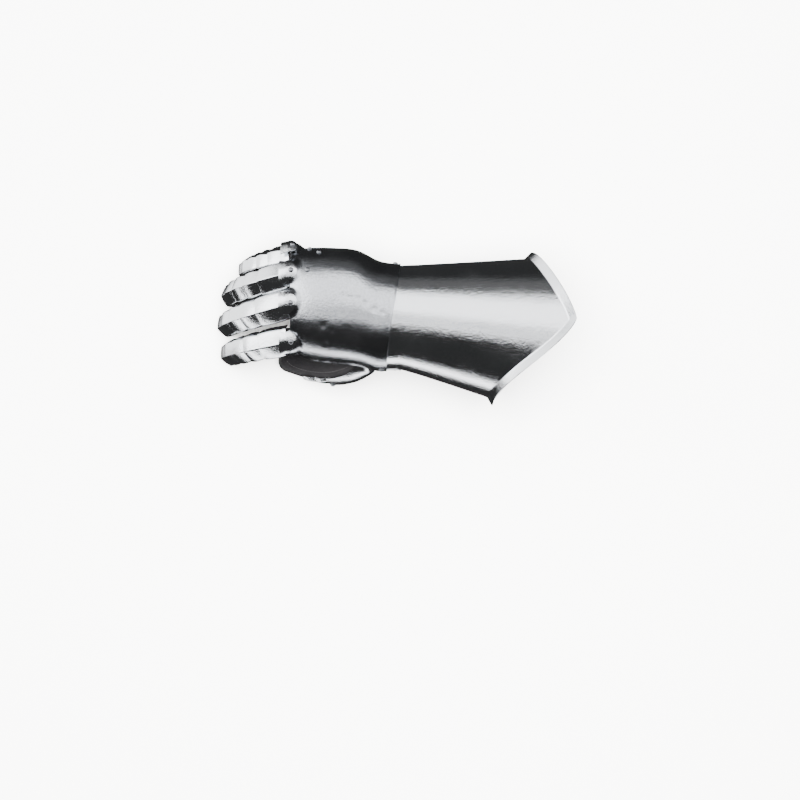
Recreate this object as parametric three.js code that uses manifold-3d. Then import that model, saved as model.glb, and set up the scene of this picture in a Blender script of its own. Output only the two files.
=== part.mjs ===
// Right-hand armoured gauntlet of polished steel plate over a black leather glove, lying palm down.
// Millimetres. +X runs from the fingertips to the cuff, +Y to the little finger, +Z up.
import * as THREE from 'three';
import Module from 'manifold-3d';
import { mergeVertices } from 'three/addons/utils/BufferGeometryUtils.js';

const wasm = await Module();
wasm.setup();

// Sheet thicknesses and the clearance between pieces that lap
const plateWall = 1.2;
const lameWall = 1.0;
const leatherWall = 1.8;
const fitGap = 0.35;
const leatherGap = 0.6;
const palmGap = 2.2;

// How the gauntlet lies: its back leans to the little finger
const leanAngle = 8;

// Cuff
const wristWidth = 104;
const wristDepth = 80;
const mouthWidth = 168;
const mouthDepth = 144;
const cuffLength = 164;
const cuffTuck = 18;
const flarePower = 1.08;
const wristOffset = 8;
const mouthOffset = -15;
const pointAngle = 6;
const thumbSideDrop = 75;
const littleSideDrop = 38;
const undersideDrop = 72;
const edgePower = 1.2; // above 1 it bows the edge outward on its way from the point to the sides
const lipWidth = 8;
const lipAngle = 42;
const lipBendRadius = 3;

// Hand plate: its length from the wrist to the knuckle line, and how much wider and higher than
// the wrist it is
const handLength = 104;
const knuckleSpread = 13;
const crownRise = 5;
const seamMiddle = -3.5;
const seamSlant = 7;
const littleSideWrap = 101;
const thumbSideWrap = 89;
const cornerStart = 0.74;
const thumbCornerCut = 0.26;
const littleCornerCut = 0.1;
const valleyLength = 1;
const kneeReach = 10;
const domeSetback = 1;
const domeHeight = 6;
const domeFillet = 3;
const knuckleFall = 16;

// Knuckle plates, each a rounded tongue on a dome
const tongueGap = 1.05;
const tongueShare = 0.63;
const tongueFrontShare = 0.88;
const tongueSetback = 5;
const tongueFront = 11.5;

// Fingers: the middle finger's radius and how far it reaches past the knuckle line.
// Each row: where the knuckle sits round the hand plate, its radii as shares of the finger's radius,
// and where the tip rests as shares of the reach and of the hand's width.
const fingerRadius = 14.8;
const fingerReach = 70;
const fingers = [
  { name: 'index', knuckleAngle: -54, roll: -12, root: 0.9865, tip: 0.8514, reach: 0.9571, side: -0.2308 },
  { name: 'middle', knuckleAngle: -10, roll: -2, root: 1, tip: 0.8649, reach: 1, side: 0.0256 },
  { name: 'ring', knuckleAngle: 29, roll: 14, root: 0.9595, tip: 0.8378, reach: 0.9429, side: 0.2821 },
  { name: 'little', knuckleAngle: 69, roll: 44, root: 0.8514, tip: 0.7568, reach: 0.7143, side: 0.5128 },
];
const fingerEndAngle = 78;
const curlReach = 0.4;
const fingerStart = 1;
const lameOverlap = 4.5;
const lameWrap = 98;
const lameEnds = [0.29, 0.46, 0.63, 0.81];

// Thumb: the middle line of its stall from the wrist to the tip, and its plates
const thumbRootRadius = 15;
const thumbTipRadius = 11.5;
const thumbReach = 112;
const thumbSpread = 47;
const thumbRootHeight = 65;
const thumbRootSide = 0.31; // share of the wrist's width
const thumbTipSide = 0.74; // share of the spread, as are the sides of the two bends
const thumbBends = [
  { reach: 0.36, side: 1.16 },
  { reach: 0.72, side: 0.98 },
];
const thumbRootReach = 0.21;
const thumbBendHeight = 0.86; // share of the root's height
const thumbLowHeight = 1.3; // share of the tip's radius
const thumbWrap = 72;
const thumbOutwardTurn = 62;
const thumbTabAngle = 17;
const thumbTabCentre = -107;
const thumbTabEnd = 4;
const thumbTabReach = 1.5; // how far the tab runs on past the cuff's front edge
const thumbBaseShares = [0.3, 0.55, 0.78];
const thumbPlateEnds = [0.52, 0.66, 0.79];
const thumbOverlap = 4.5;

// Glove
const gloveCuffReach = 22;
const palmFront = 4;
const stallSetback = 6;
const palmDepthShare = 0.5;
const gloveOpenReach = 5; // how far the hollow runs out past the glove's wrist edge
const stallSteps = 6;
const stallEndTurns = [35, 62, 90];

// Rivets
const rivetHeadRadius = 2.6;
const rivetHeadHeight = 1.5;
const rivetShankRadius = 1.3;
const rivetTailRadius = 2.1;
const rivetTailHeight = 0.6;
const rivetShoulder = { radius: 0.8, height: 0.6 }; // where the dome bends, as shares of the head
const rivetClearance = 0.45;
const sliverSize = 0.03; // edges shorter than this are merged after the rivet holes are cut
const rivetTailSlack = 1.5;
const knuckleTailSlack = 1.0;
const wristTailSlack = 2.8;
const handRivets = [
  { name: 'ring_rear_rivet', setback: 0.154, angle: 31 },
  { name: 'little_rear_rivet_1', setback: 0.163, angle: 66 },
  { name: 'little_rear_rivet_2', setback: 0.26, angle: 57 },
];
const wristRivets = [
  { name: 'wrist_rivet_little_side', angle: 84 },
  { name: 'wrist_rivet_thumb_side', angle: -82 },
];
const wristRivetInset = 5;
const thumbTabX = -2;
const thumbRivetAngles = [-34, 34];

// Fineness of the facets
const cuffColumns = 40;
const cuffRows = 5;
const lipRows = 2;
const handColumns = 40;
const lameColumns = 8;
const thumbColumns = 8;
const tubeColumns = 10;
const palmColumns = 18;
const rivetSides = 6;

const steel = new THREE.MeshStandardMaterial({ color: 0xc9cbce, roughness: 0.16, metalness: 1 });
const rivetSteel = new THREE.MeshStandardMaterial({ color: 0xaaacb0, roughness: 0.24, metalness: 1 });
const leather = new THREE.MeshStandardMaterial({ color: 0x17171a, roughness: 0.62, metalness: 0 });

const { degToRad, radToDeg, lerp, clamp, smoothstep } = THREE.MathUtils;
const up = new THREE.Vector3(0, 0, 1);
const differenceStep = 0.02;

const handWidth = wristWidth + knuckleSpread;
const crownHeight = wristDepth / 2 + crownRise;

const gauntlet = new THREE.Group();

function addPiece(name, geometry, material) {
  const mesh = new THREE.Mesh(geometry, material);
  mesh.name = name;
  gauntlet.add(mesh);
}

// Closed meshes from grids of points

function geometryFromTriangles(points, triangles) {
  const geometry = new THREE.BufferGeometry();
  const positions = points.flatMap((point) => point.toArray());
  geometry.setAttribute('position', new THREE.Float32BufferAttribute(positions, 3));
  geometry.setIndex(triangles.flat());
  const merged = mergeVertices(geometry, 1e-3);
  const index = Array.from(merged.index.array);
  const kept = [];
  for (let i = 0; i < index.length; i += 3) {
    const [a, b, c] = index.slice(i, i + 3);
    if (a !== b && b !== c && c !== a) {
      kept.push(a, b, c);
    }
  }
  merged.setIndex(kept);
  return merged;
}

function quad(triangles, a, b, c, d) {
  triangles.push([a, c, b], [a, d, c]);
}

// A sheet of even thickness below a grid of outer points with their normals.
// Rows run along the piece and columns round it; a closed sheet joins its last column to its first.
function sheetGeometry(grid, wall, closed) {
  const rows = grid.length;
  const columns = grid[0].length;
  const outer = grid.flat().map((spot) => spot.point);
  const inner = grid.flat().map((spot) => spot.point.clone().addScaledVector(spot.normal, -wall));
  const points = [...outer, ...inner];
  const at = (row, column) => row * columns + (column % columns);
  const under = (row, column) => outer.length + at(row, column);
  const triangles = [];
  const end = rows - 1;
  const lastColumn = closed ? columns : columns - 1;
  for (let row = 0; row < end; row += 1) {
    for (let column = 0; column < lastColumn; column += 1) {
      const next = column + 1;
      quad(triangles, at(row, column), at(row + 1, column), at(row + 1, next), at(row, next));
      quad(triangles, under(row, column), under(row, next), under(row + 1, next), under(row + 1, column));
    }
  }
  for (let column = 0; column < lastColumn; column += 1) {
    const next = column + 1;
    quad(triangles, at(0, column), at(0, next), under(0, next), under(0, column));
    quad(triangles, at(end, column), under(end, column), under(end, next), at(end, next));
  }
  if (!closed) {
    const edge = columns - 1;
    for (let row = 0; row < end; row += 1) {
      quad(triangles, at(row, 0), under(row, 0), under(row + 1, 0), at(row + 1, 0));
      quad(triangles, at(row, edge), at(row + 1, edge), under(row + 1, edge), under(row, edge));
    }
  }
  return geometryFromTriangles(points, triangles);
}

// A solid through closed rings of points, with a flat end or a single point at each end
function loftGeometry(rings) {
  const columns = rings[0].length;
  const points = rings.flat();
  const triangles = [];
  const at = (row, column) => row * columns + (column % columns);
  for (let row = 0; row < rings.length - 1; row += 1) {
    for (let column = 0; column < columns; column += 1) {
      quad(triangles, at(row, column), at(row + 1, column), at(row + 1, column + 1), at(row, column + 1));
    }
  }
  for (let column = 1; column < columns - 1; column += 1) {
    triangles.push([at(0, 0), at(0, column + 1), at(0, column)]);
    const last = rings.length - 1;
    triangles.push([at(last, 0), at(last, column), at(last, column + 1)]);
  }
  return geometryFromTriangles(points, triangles);
}

function solidFrom(geometry) {
  const bare = new THREE.BufferGeometry();
  bare.setAttribute('position', geometry.getAttribute('position').clone());
  if (geometry.index) {
    bare.setIndex(geometry.index.clone());
  }
  const merged = mergeVertices(bare, 1e-4);
  const mesh = new wasm.Mesh({
    numProp: 3,
    vertProperties: new Float32Array(merged.getAttribute('position').array),
    triVerts: new Uint32Array(merged.index.array),
  });
  return new wasm.Manifold(mesh);
}

function geometryFrom(solid) {
  const mesh = solid.getMesh();
  const geometry = new THREE.BufferGeometry();
  geometry.setAttribute('position', new THREE.Float32BufferAttribute(mesh.vertProperties, 3));
  geometry.setIndex(Array.from(mesh.triVerts));
  return geometry;
}

// Surfaces

// A section is a flattened ellipse round the wrist axis that leans with the gauntlet.
// Its angle starts at the crown and grows to the little finger.
function sectionMiddle(section, x) {
  return new THREE.Vector3(x, section.offset, section.height);
}

function sectionDirection(angle) {
  const turn = degToRad(angle + leanAngle);
  return new THREE.Vector3(0, Math.sin(turn), Math.cos(turn));
}

function sectionReach(section, angle) {
  const turn = degToRad(angle);
  const across = Math.abs(Math.sin(turn) / section.halfWidth) ** section.squareness;
  const rise = Math.abs(Math.cos(turn) / section.halfDepth) ** section.squareness;
  return (across + rise) ** (-1 / section.squareness);
}

function sectionPoint(section, x, angle) {
  return sectionMiddle(section, x).addScaledVector(sectionDirection(angle), sectionReach(section, angle));
}

function surfaceNormal(surface, x, angle) {
  const along = surface(x + differenceStep, angle).sub(surface(x - differenceStep, angle));
  const round = surface(x, angle + differenceStep).sub(surface(x, angle - differenceStep));
  return along.cross(round).normalize();
}

function surfaceSpot(surface, x, angle) {
  return { point: surface(x, angle), normal: surfaceNormal(surface, x, angle) };
}

// The outside of a sheet that lies on a surface, which it follows at an even distance
function liftedSpot(surface, lift, x, angle) {
  const { point, normal } = surfaceSpot(surface, x, angle);
  return { point: point.addScaledVector(normal, lift), normal };
}

// Cuff

function cuffSection(x, level = axisHeight) {
  const share = Math.max(0, x / cuffLength) ** flarePower;
  return {
    halfWidth: lerp(wristWidth, mouthWidth, share) / 2,
    halfDepth: lerp(wristDepth, mouthDepth, share) / 2,
    offset: lerp(wristOffset, mouthOffset, share),
    height: level,
    squareness: 2,
  };
}

function cuffSurface(x, angle, level = axisHeight) {
  return sectionPoint(cuffSection(x, level), x, angle);
}

// Where the cuff's back edge runs: a V over the crown, a shallow curve under the wrist
function cuffEdgeX(angle) {
  let turn = angle - pointAngle;
  turn -= 360 * Math.round(turn / 360);
  const sideDrop = turn > 0 ? littleSideDrop : thumbSideDrop;
  const fromPoint = Math.abs(turn);
  if (fromPoint <= 90) {
    return cuffLength - sideDrop * Math.sin(degToRad(fromPoint)) ** edgePower;
  }
  return cuffLength - lerp(sideDrop, undersideDrop, smoothstep(fromPoint, 90, 180));
}

function cuffAngles() {
  return Array.from({ length: cuffColumns }, (_, column) => pointAngle - (360 * column) / cuffColumns);
}

// The direction away from the edge in the sheet, mitred where the edge turns a corner
function edgeOutward(points, normals, column) {
  const count = points.length;
  const here = points[column];
  const before = here.clone().sub(points[(column + count - 1) % count]);
  const after = points[(column + 1) % count].clone().sub(here);
  const first = before.cross(normals[column]).negate().normalize();
  const second = after.cross(normals[column]).negate().normalize();
  return first.clone().add(second).divideScalar(1 + first.dot(second));
}

function cuffGrid(level) {
  const surface = (x, angle) => cuffSurface(x, angle, level);
  const angles = cuffAngles();
  const grid = [];
  grid.push(angles.map((angle) => surfaceSpot(surface, -cuffTuck, angle)));
  for (let row = 0; row <= cuffRows; row += 1) {
    grid.push(angles.map((angle) => surfaceSpot(surface, (cuffEdgeX(angle) * row) / cuffRows, angle)));
  }
  const edge = grid[grid.length - 1];
  const points = edge.map((spot) => spot.point);
  const normals = edge.map((spot) => spot.normal);
  const outward = points.map((_, column) => edgeOutward(points, normals, column));
  const lipSpot = (column, bend, straight) => {
    const [away, normal] = [outward[column], normals[column]];
    const direction = away.clone().multiplyScalar(Math.cos(bend)).addScaledVector(normal, Math.sin(bend));
    const point = points[column].clone()
      .addScaledVector(away, lipBendRadius * Math.sin(bend))
      .addScaledVector(normal, lipBendRadius * (1 - Math.cos(bend)))
      .addScaledVector(direction, straight);
    const turned = normal.clone().multiplyScalar(Math.cos(bend)).addScaledVector(away, -Math.sin(bend));
    return { point, normal: turned };
  };
  for (let row = 1; row <= lipRows; row += 1) {
    const bend = degToRad((lipAngle * row) / lipRows);
    grid.push(points.map((_, column) => lipSpot(column, bend, 0)));
  }
  grid.push(points.map((_, column) => lipSpot(column, degToRad(lipAngle), lipWidth)));
  return grid;
}

// The wrist axis lies as high as the cuff reaches below it, so the cuff's lip rests on the surface
function cuffDepth() {
  const spots = cuffGrid(0).flat();
  const heights = spots.flatMap(({ point, normal }) => [point.z, point.z - plateWall * normal.z]);
  return -Math.min(...heights);
}

const axisHeight = cuffDepth();

// Sections of the hand plate

// Sections of the hand plate as shares: place along the hand from the wrist to the knuckle line, width
// of the hand, rise of the crown over the axis, shift of the middle to the little finger over the width,
// and drop of the middle below the axis over the crown's rise
const handSections = [
  { place: 0.17, width: 0.955, crown: 0.94, shift: 0.075, drop: 0.0, squareness: 2.1 },
  { place: 0.38, width: 1.0, crown: 1.0, shift: 0.14, drop: 0.03, squareness: 2.25 },
  { place: 0.6, width: 1.0, crown: 1.0, shift: 0.16, drop: 0.07, squareness: 2.35 },
  { place: 0.82, width: 0.975, crown: 0.93, shift: 0.175, drop: 0.12, squareness: 2.35 },
  { place: 1.0, width: 0.93, crown: 0.8, shift: 0.185, drop: 0.2, squareness: 2.35 },
  { place: 1.16, width: 0.88, crown: 0.64, shift: 0.19, drop: 0.27, squareness: 2.35 },
];

// Over the cuff the plate follows the wrist, one clearance and one wall outside it
function overCuffSection(x) {
  const section = cuffSection(x);
  section.halfWidth += fitGap + plateWall;
  section.halfDepth += fitGap + plateWall;
  return section;
}

const wristRow = {
  place: 0,
  width: (2 * overCuffSection(0).halfWidth) / handWidth,
  crown: overCuffSection(0).halfDepth / crownHeight,
  shift: wristOffset / handWidth,
  drop: 0,
  squareness: 2,
};

function smoothTableValue(rows, place, key) {
  const inside = clamp(place, rows[0].place, rows[rows.length - 1].place);
  let row = 0;
  while (row < rows.length - 2 && inside > rows[row + 1].place) {
    row += 1;
  }
  const before = rows[Math.max(0, row - 1)];
  const start = rows[row];
  const end = rows[row + 1];
  const after = rows[Math.min(rows.length - 1, row + 2)];
  const span = end.place - start.place;
  const share = (inside - start.place) / span;
  const startSlope = (end[key] - before[key]) / (end.place - before.place);
  const endSlope = (after[key] - start[key]) / (after.place - start.place);
  const rise = end[key] - start[key];
  const a = startSlope * span - rise;
  const b = -endSlope * span + rise;
  return lerp(start[key], end[key], share) + share * (1 - share) * (a * (1 - share) + b * share);
}

function handSection(x) {
  if (x >= 0) {
    return overCuffSection(x);
  }
  const rows = [wristRow, ...handSections];
  const value = (key) => smoothTableValue(rows, -x / handLength, key);
  return {
    halfWidth: (value('width') * handWidth) / 2,
    halfDepth: (value('crown') + value('drop')) * crownHeight,
    offset: value('shift') * handWidth,
    height: axisHeight - value('drop') * crownHeight,
    squareness: value('squareness'),
  };
}

function plainHandSurface(x, angle) {
  return sectionPoint(handSection(x), x, angle);
}

// The middle of the rounded end of a finger, which rests on the surface
function fingerTip(finger) {
  const x = -handLength - finger.reach * fingerReach;
  return new THREE.Vector3(x, finger.side * handWidth, finger.tip * fingerRadius);
}

// Each finger leaves the hand plate along a straight axis, which the plate's dome and the lames share
function knuckleAxis(finger) {
  const crest = plainHandSurface(-handLength, finger.knuckleAngle);
  const radius = finger.root * fingerRadius + fitGap + plateWall;
  const turn = degToRad(finger.roll);
  const outward = new THREE.Vector3(0, Math.sin(turn), Math.cos(turn));
  const start = crest.addScaledVector(outward, domeHeight - radius);
  const fall = degToRad(knuckleFall);
  const direction = fingerTip(finger).sub(start).setZ(0).normalize();
  direction.multiplyScalar(Math.cos(fall)).addScaledVector(up, -Math.sin(fall));
  return { start, direction, radius };
}

const knuckleAxes = fingers.map(knuckleAxis);

function farRoot(a, b, c) {
  const inside = b * b - a * c;
  return inside > 0 ? (b + Math.sqrt(inside)) / a : 0;
}

// How far a ray runs before it leaves the round-ended dome about a knuckle's axis
function domeReach(origin, ray, axis) {
  const from = axis.start.clone().sub(origin);
  const fromAcross = from.clone().addScaledVector(axis.direction, -from.dot(axis.direction));
  const rayAcross = ray.clone().addScaledVector(axis.direction, -ray.dot(axis.direction));
  const room = axis.radius * axis.radius;
  const reach = farRoot(rayAcross.lengthSq(), rayAcross.dot(fromAcross), fromAcross.lengthSq() - room);
  const along = ray.clone().multiplyScalar(reach).sub(from).dot(axis.direction);
  if (along >= domeSetback) {
    return reach;
  }
  const centre = from.addScaledVector(axis.direction, domeSetback);
  return farRoot(1, ray.dot(centre), centre.lengthSq() - room);
}

// The larger of two reaches, with a fillet where they meet
function filletedMax(a, b, fillet) {
  const overlap = Math.max(fillet - Math.abs(a - b), 0);
  return Math.max(a, b) + (overlap * overlap) / (4 * fillet);
}

function domeRise(x, angle) {
  const section = handSection(x);
  const origin = sectionMiddle(section, x);
  const ray = sectionDirection(angle);
  const plain = sectionReach(section, angle);
  const reaches = knuckleAxes.map((axis) => domeReach(origin, ray, axis));
  return filletedMax(plain, Math.max(...reaches), domeFillet) - plain;
}

function handSurface(x, angle) {
  return plainHandSurface(x, angle).addScaledVector(sectionDirection(angle), domeRise(x, angle));
}

// Hand plate

function handBackX(angle) {
  return seamMiddle + seamSlant * Math.sin(degToRad(angle));
}

function handFrontX(angle) {
  const dome = clamp(domeRise(-handLength - domeSetback, angle) / domeHeight, 0, 1);
  return -handLength - lerp(valleyLength, kneeReach, dome);
}

// Both front corners are rounded off
function cornerShare(place) {
  return smoothstep(place, cornerStart, 1 + kneeReach / handLength);
}

function handThumbWrap(place) {
  return thumbSideWrap * (1 - thumbCornerCut * cornerShare(place));
}

function handLittleWrap(place) {
  return littleSideWrap * (1 - littleCornerCut * cornerShare(place));
}

// Rows of the hand plate as shares of its length, close together over the knuckle domes
const handRowShares = [0, 0.12, 0.26, 0.42, 0.58, 0.7, 0.78, 0.83, 0.87, 0.91, 0.955, 1];

function handGrid() {
  return handRowShares.map((share) => {
    const spots = [];
    for (let column = 0; column <= handColumns; column += 1) {
      const across = column / handColumns;
      const roughAngle = lerp(handLittleWrap(share), -handThumbWrap(share), across);
      const x = lerp(handBackX(roughAngle), handFrontX(roughAngle), share);
      const angle = lerp(handLittleWrap(-x / handLength), -handThumbWrap(-x / handLength), across);
      spots.push(surfaceSpot(handSurface, x, angle));
    }
    return spots.reverse();
  });
}

// Knuckle plates

function tongueSpot(x, angle) {
  return liftedSpot(handSurface, tongueGap + lameWall, x, angle);
}

// The angle of a place beside a knuckle's axis, seen from the middle of the section
function angleBeside(finger, x, across) {
  const axis = knuckleAxis(finger);
  const share = (x - axis.start.x) / axis.direction.x;
  const turn = across / axis.radius + degToRad(finger.roll);
  const place = axis.start.clone().addScaledVector(axis.direction, share);
  place.y += axis.radius * Math.sin(turn);
  place.z += axis.radius * Math.cos(turn);
  place.sub(sectionMiddle(handSection(x), x));
  return radToDeg(Math.atan2(place.y, place.z)) - leanAngle;
}

const tongueTurns = [20, 42, 66, 90];

function tongueGrid(finger) {
  const centreX = -handLength - tongueSetback;
  const domeRadius = knuckleAxis(finger).radius;
  const tongueRadius = domeRadius * tongueShare;
  const rows = tongueTurns.map((turn) => ({
    x: centreX + tongueRadius * Math.cos(degToRad(turn)),
    halfWidth: tongueRadius * Math.sin(degToRad(turn)),
  }));
  rows.push({ x: -handLength - tongueFront, halfWidth: domeRadius * tongueFrontShare });
  return rows.map((row) => {
    const spots = [];
    for (let column = 0; column <= lameColumns; column += 1) {
      const across = lerp(-row.halfWidth, row.halfWidth, column / lameColumns);
      spots.push(tongueSpot(row.x, angleBeside(finger, row.x, across)));
    }
    return spots;
  });
}

// Fingers

// The middle line of a finger: out of the knuckle along its axis, then curling down to the surface
function fingerCurve(finger) {
  const axis = knuckleAxis(finger);
  const end = fingerTip(finger);
  const endTurn = degToRad(fingerEndAngle);
  const reach = end.distanceTo(axis.start) * curlReach;
  const endDirection = axis.direction.clone().setZ(0).normalize();
  endDirection.multiplyScalar(Math.cos(endTurn)).addScaledVector(up, -Math.sin(endTurn));
  const startControl = axis.start.clone().addScaledVector(axis.direction, reach);
  const endControl = end.clone().addScaledVector(endDirection, -reach);
  return new THREE.CubicBezierCurve3(axis.start, startControl, endControl, end);
}

// The frame across a curve: its outward direction turned by the roll, and its side direction
function frameAt(curve, distance, roll) {
  const length = curve.getLength();
  const share = clamp(distance / length, 0, 1);
  const tangent = curve.getTangentAt(share);
  const beyond = distance - share * length;
  const centre = curve.getPointAt(share).addScaledVector(tangent, beyond);
  const side = up.clone().cross(curve.getTangentAt(0)).negate().normalize();
  side.addScaledVector(tangent, -side.dot(tangent)).normalize();
  const outward = side.clone().cross(tangent).normalize();
  const turn = degToRad(roll);
  return {
    centre,
    tangent,
    outward: outward.clone().multiplyScalar(Math.cos(turn)).addScaledVector(side, Math.sin(turn)),
    side: side.clone().multiplyScalar(Math.cos(turn)).addScaledVector(outward, -Math.sin(turn)),
  };
}

function ringDirection(frame, angle) {
  const turn = degToRad(angle);
  return frame.outward.clone().multiplyScalar(Math.cos(turn)).addScaledVector(frame.side, Math.sin(turn));
}

function arcRow(frame, radius, wrap, columns) {
  const spots = [];
  for (let column = 0; column <= columns; column += 1) {
    const direction = ringDirection(frame, lerp(-wrap, wrap, column / columns));
    spots.push({ point: frame.centre.clone().addScaledVector(direction, radius), normal: direction });
  }
  return spots;
}

function radiusAt(limb, distance) {
  return lerp(limb.rootRadius, limb.tipRadius, clamp(distance / limb.curve.getLength(), 0, 1));
}

// A lame: its start sinks under the plate before it, its end lies over the one after it
function lameGrid(limb, start, end, tucked) {
  const rows = [
    [start - limb.overlap, tucked],
    [start, tucked],
    [end - limb.overlap, 0],
    [end, 0],
  ];
  return rows.map(([distance, sunk]) => {
    const frame = frameAt(limb.curve, distance, limb.roll);
    return arcRow(frame, radiusAt(limb, distance) - sunk, limb.wrap, lameColumns);
  });
}

const capTurns = [0, 35, 65, 90];

// The tip cap: a lame whose front end is domed
function capGrid(limb, start) {
  const length = limb.curve.getLength();
  const tucked = lameWall + fitGap;
  const rows = [start - limb.overlap, start].map((distance) => {
    const frame = frameAt(limb.curve, distance, limb.roll);
    return arcRow(frame, radiusAt(limb, distance) - tucked, limb.wrap, lameColumns);
  });
  const frame = frameAt(limb.curve, length, limb.roll);
  for (const turn of capTurns) {
    const bend = degToRad(turn);
    const spots = [];
    for (let column = 0; column <= lameColumns; column += 1) {
      const direction = ringDirection(frame, lerp(-limb.wrap, limb.wrap, column / lameColumns));
      const normal = direction.multiplyScalar(Math.cos(bend)).addScaledVector(frame.tangent, Math.sin(bend));
      spots.push({ point: frame.centre.clone().addScaledVector(normal, limb.tipRadius), normal });
    }
    rows.push(spots);
  }
  return rows;
}

function fingerLimb(finger) {
  return {
    curve: fingerCurve(finger),
    roll: finger.roll,
    rootRadius: finger.root * fingerRadius,
    tipRadius: finger.tip * fingerRadius,
    overlap: lameOverlap,
    wrap: lameWrap,
  };
}

// Thumb

function thumbLimb() {
  const rootSide = wristOffset - wristWidth * thumbRootSide;
  const start = new THREE.Vector3(-thumbReach * thumbRootReach, rootSide, thumbRootHeight);
  const end = new THREE.Vector3(-thumbReach, -thumbSpread * thumbTipSide, thumbTipRadius - leatherWall / 2);
  const heights = [thumbRootHeight * thumbBendHeight, thumbTipRadius * thumbLowHeight];
  const [startControl, endControl] = thumbBends.map(({ reach, side }, bend) => {
    return new THREE.Vector3(-thumbReach * reach, -thumbSpread * side, heights[bend]);
  });
  return {
    curve: new THREE.CubicBezierCurve3(start, startControl, endControl, end),
    roll: -thumbOutwardTurn,
    rootRadius: thumbRootRadius,
    tipRadius: thumbTipRadius + 2 * lameWall + fitGap + leatherGap,
    overlap: thumbOverlap,
    wrap: thumbWrap,
  };
}

function thumbTabSpot(x, angle) {
  return liftedSpot(cuffSurface, fitGap + lameWall, x, angle);
}

// The thumb's base plate: a tab on the side of the wrist that opens out to a half pipe over the thumb
function thumbBaseGrid(limb) {
  const length = limb.curve.getLength();
  const end = length * thumbPlateEnds[0];
  const tabRow = (x) => {
    const spots = [];
    for (let column = 0; column <= thumbColumns; column += 1) {
      const turn = lerp(-thumbTabAngle, thumbTabAngle, column / thumbColumns);
      spots.push(thumbTabSpot(x, thumbTabCentre + turn));
    }
    return spots;
  };
  const rows = [tabRow(thumbTabEnd), tabRow(0), tabRow(-cuffTuck - thumbTabReach)];
  const distances = [...thumbBaseShares.map((share) => share * end), end - limb.overlap, end];
  for (const distance of distances) {
    const frame = frameAt(limb.curve, distance, limb.roll);
    rows.push(arcRow(frame, radiusAt(limb, distance), limb.wrap, thumbColumns));
  }
  return rows;
}

// Glove

function tubeRings(limb, from, to, radiusOf) {
  const rings = [];
  for (let step = 0; step <= stallSteps; step += 1) {
    const distance = lerp(from, to, step / stallSteps);
    rings.push(ringPoints(frameAt(limb.curve, distance, limb.roll), radiusOf(distance)));
  }
  const frame = frameAt(limb.curve, to, limb.roll);
  const radius = radiusOf(to);
  for (const turn of stallEndTurns) {
    const bend = degToRad(turn);
    const centre = frame.centre.clone().addScaledVector(frame.tangent, radius * Math.sin(bend));
    rings.push(ringPoints({ ...frame, centre }, radius * Math.cos(bend)));
  }
  return rings;
}

function ringPoints(frame, radius) {
  const points = [];
  for (let column = 0; column < tubeColumns; column += 1) {
    const direction = ringDirection(frame, (360 * column) / tubeColumns);
    points.push(frame.centre.clone().addScaledVector(direction, Math.max(radius, 0)));
  }
  return points;
}

// The palm: it follows the hand plate above and is shallower below
function palmRing(base, x, inset, sizeShare) {
  const depthBelow = base.halfDepth * palmDepthShare;
  const points = [];
  for (let column = 0; column < palmColumns; column += 1) {
    const angle = (360 * column) / palmColumns;
    const above = Math.cos(degToRad(angle)) >= 0;
    const section = {
      ...base,
      halfWidth: (base.halfWidth - inset) * sizeShare,
      halfDepth: ((above ? base.halfDepth : depthBelow) - inset) * sizeShare,
    };
    points.push(sectionPoint(section, x, angle));
  }
  return points;
}

const palmShares = [0.22, 0.5, 0.75, 1];

function gloveSolid(limbs, extraInset, extraReach) {
  const inset = plateWall + palmGap + extraInset;
  const frontX = -handLength + palmFront + extraInset;
  const wristInset = inset + plateWall;
  const rings = [gloveCuffReach + extraReach, 0, -cuffTuck - palmGap].map((x) => {
    return palmRing(cuffSection(Math.min(x, 0)), x, wristInset, 1);
  });
  for (const share of palmShares) {
    const x = lerp(-cuffTuck - palmGap, frontX, share);
    rings.push(palmRing(handSection(x), x, inset, 1));
  }
  let solid = solidFrom(loftGeometry(rings));
  const stallInset = 2 * lameWall + fitGap + leatherGap + extraInset;
  for (const limb of limbs) {
    const radiusOf = (distance) => radiusAt(limb, distance) - stallInset;
    const tube = tubeRings(limb, -stallSetback - extraInset, limb.curve.getLength(), radiusOf);
    solid = solid.add(solidFrom(loftGeometry(tube)));
  }
  return solid;
}

function gloveGeometry(limbs) {
  const outside = gloveSolid(limbs, 0, 0);
  const inside = gloveSolid(limbs, leatherWall, gloveOpenReach);
  const span = 2 * (cuffLength + handLength);
  const floor = new THREE.BoxGeometry(span, span, span);
  floor.translate(0, 0, -span / 2);
  return geometryFrom(outside.subtract(inside).subtract(solidFrom(floor)));
}

// Rivets: a domed head outside, a shank through the plates and a flat tail inside

function placeOnSurface(geometry, spot) {
  const turn = new THREE.Quaternion().setFromUnitVectors(up, spot.normal);
  geometry.applyQuaternion(turn);
  geometry.translate(spot.point.x, spot.point.y, spot.point.z);
  return geometry;
}

function rivetGeometry({ stack, spot, slack }) {
  const top = rivetClearance;
  const bottom = -stack - slack;
  const profile = [
    [0, bottom - rivetTailHeight],
    [rivetTailRadius, bottom - rivetTailHeight],
    [rivetTailRadius, bottom],
    [rivetShankRadius, bottom],
    [rivetShankRadius, top],
    [rivetHeadRadius, top],
    [rivetHeadRadius * rivetShoulder.radius, top + rivetHeadHeight * rivetShoulder.height],
    [0, top + rivetHeadHeight],
  ];
  const points = profile.map(([radius, height]) => new THREE.Vector2(radius, height));
  return placeOnSurface(new THREE.LatheGeometry(points, rivetSides).rotateX(Math.PI / 2), spot);
}

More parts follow.
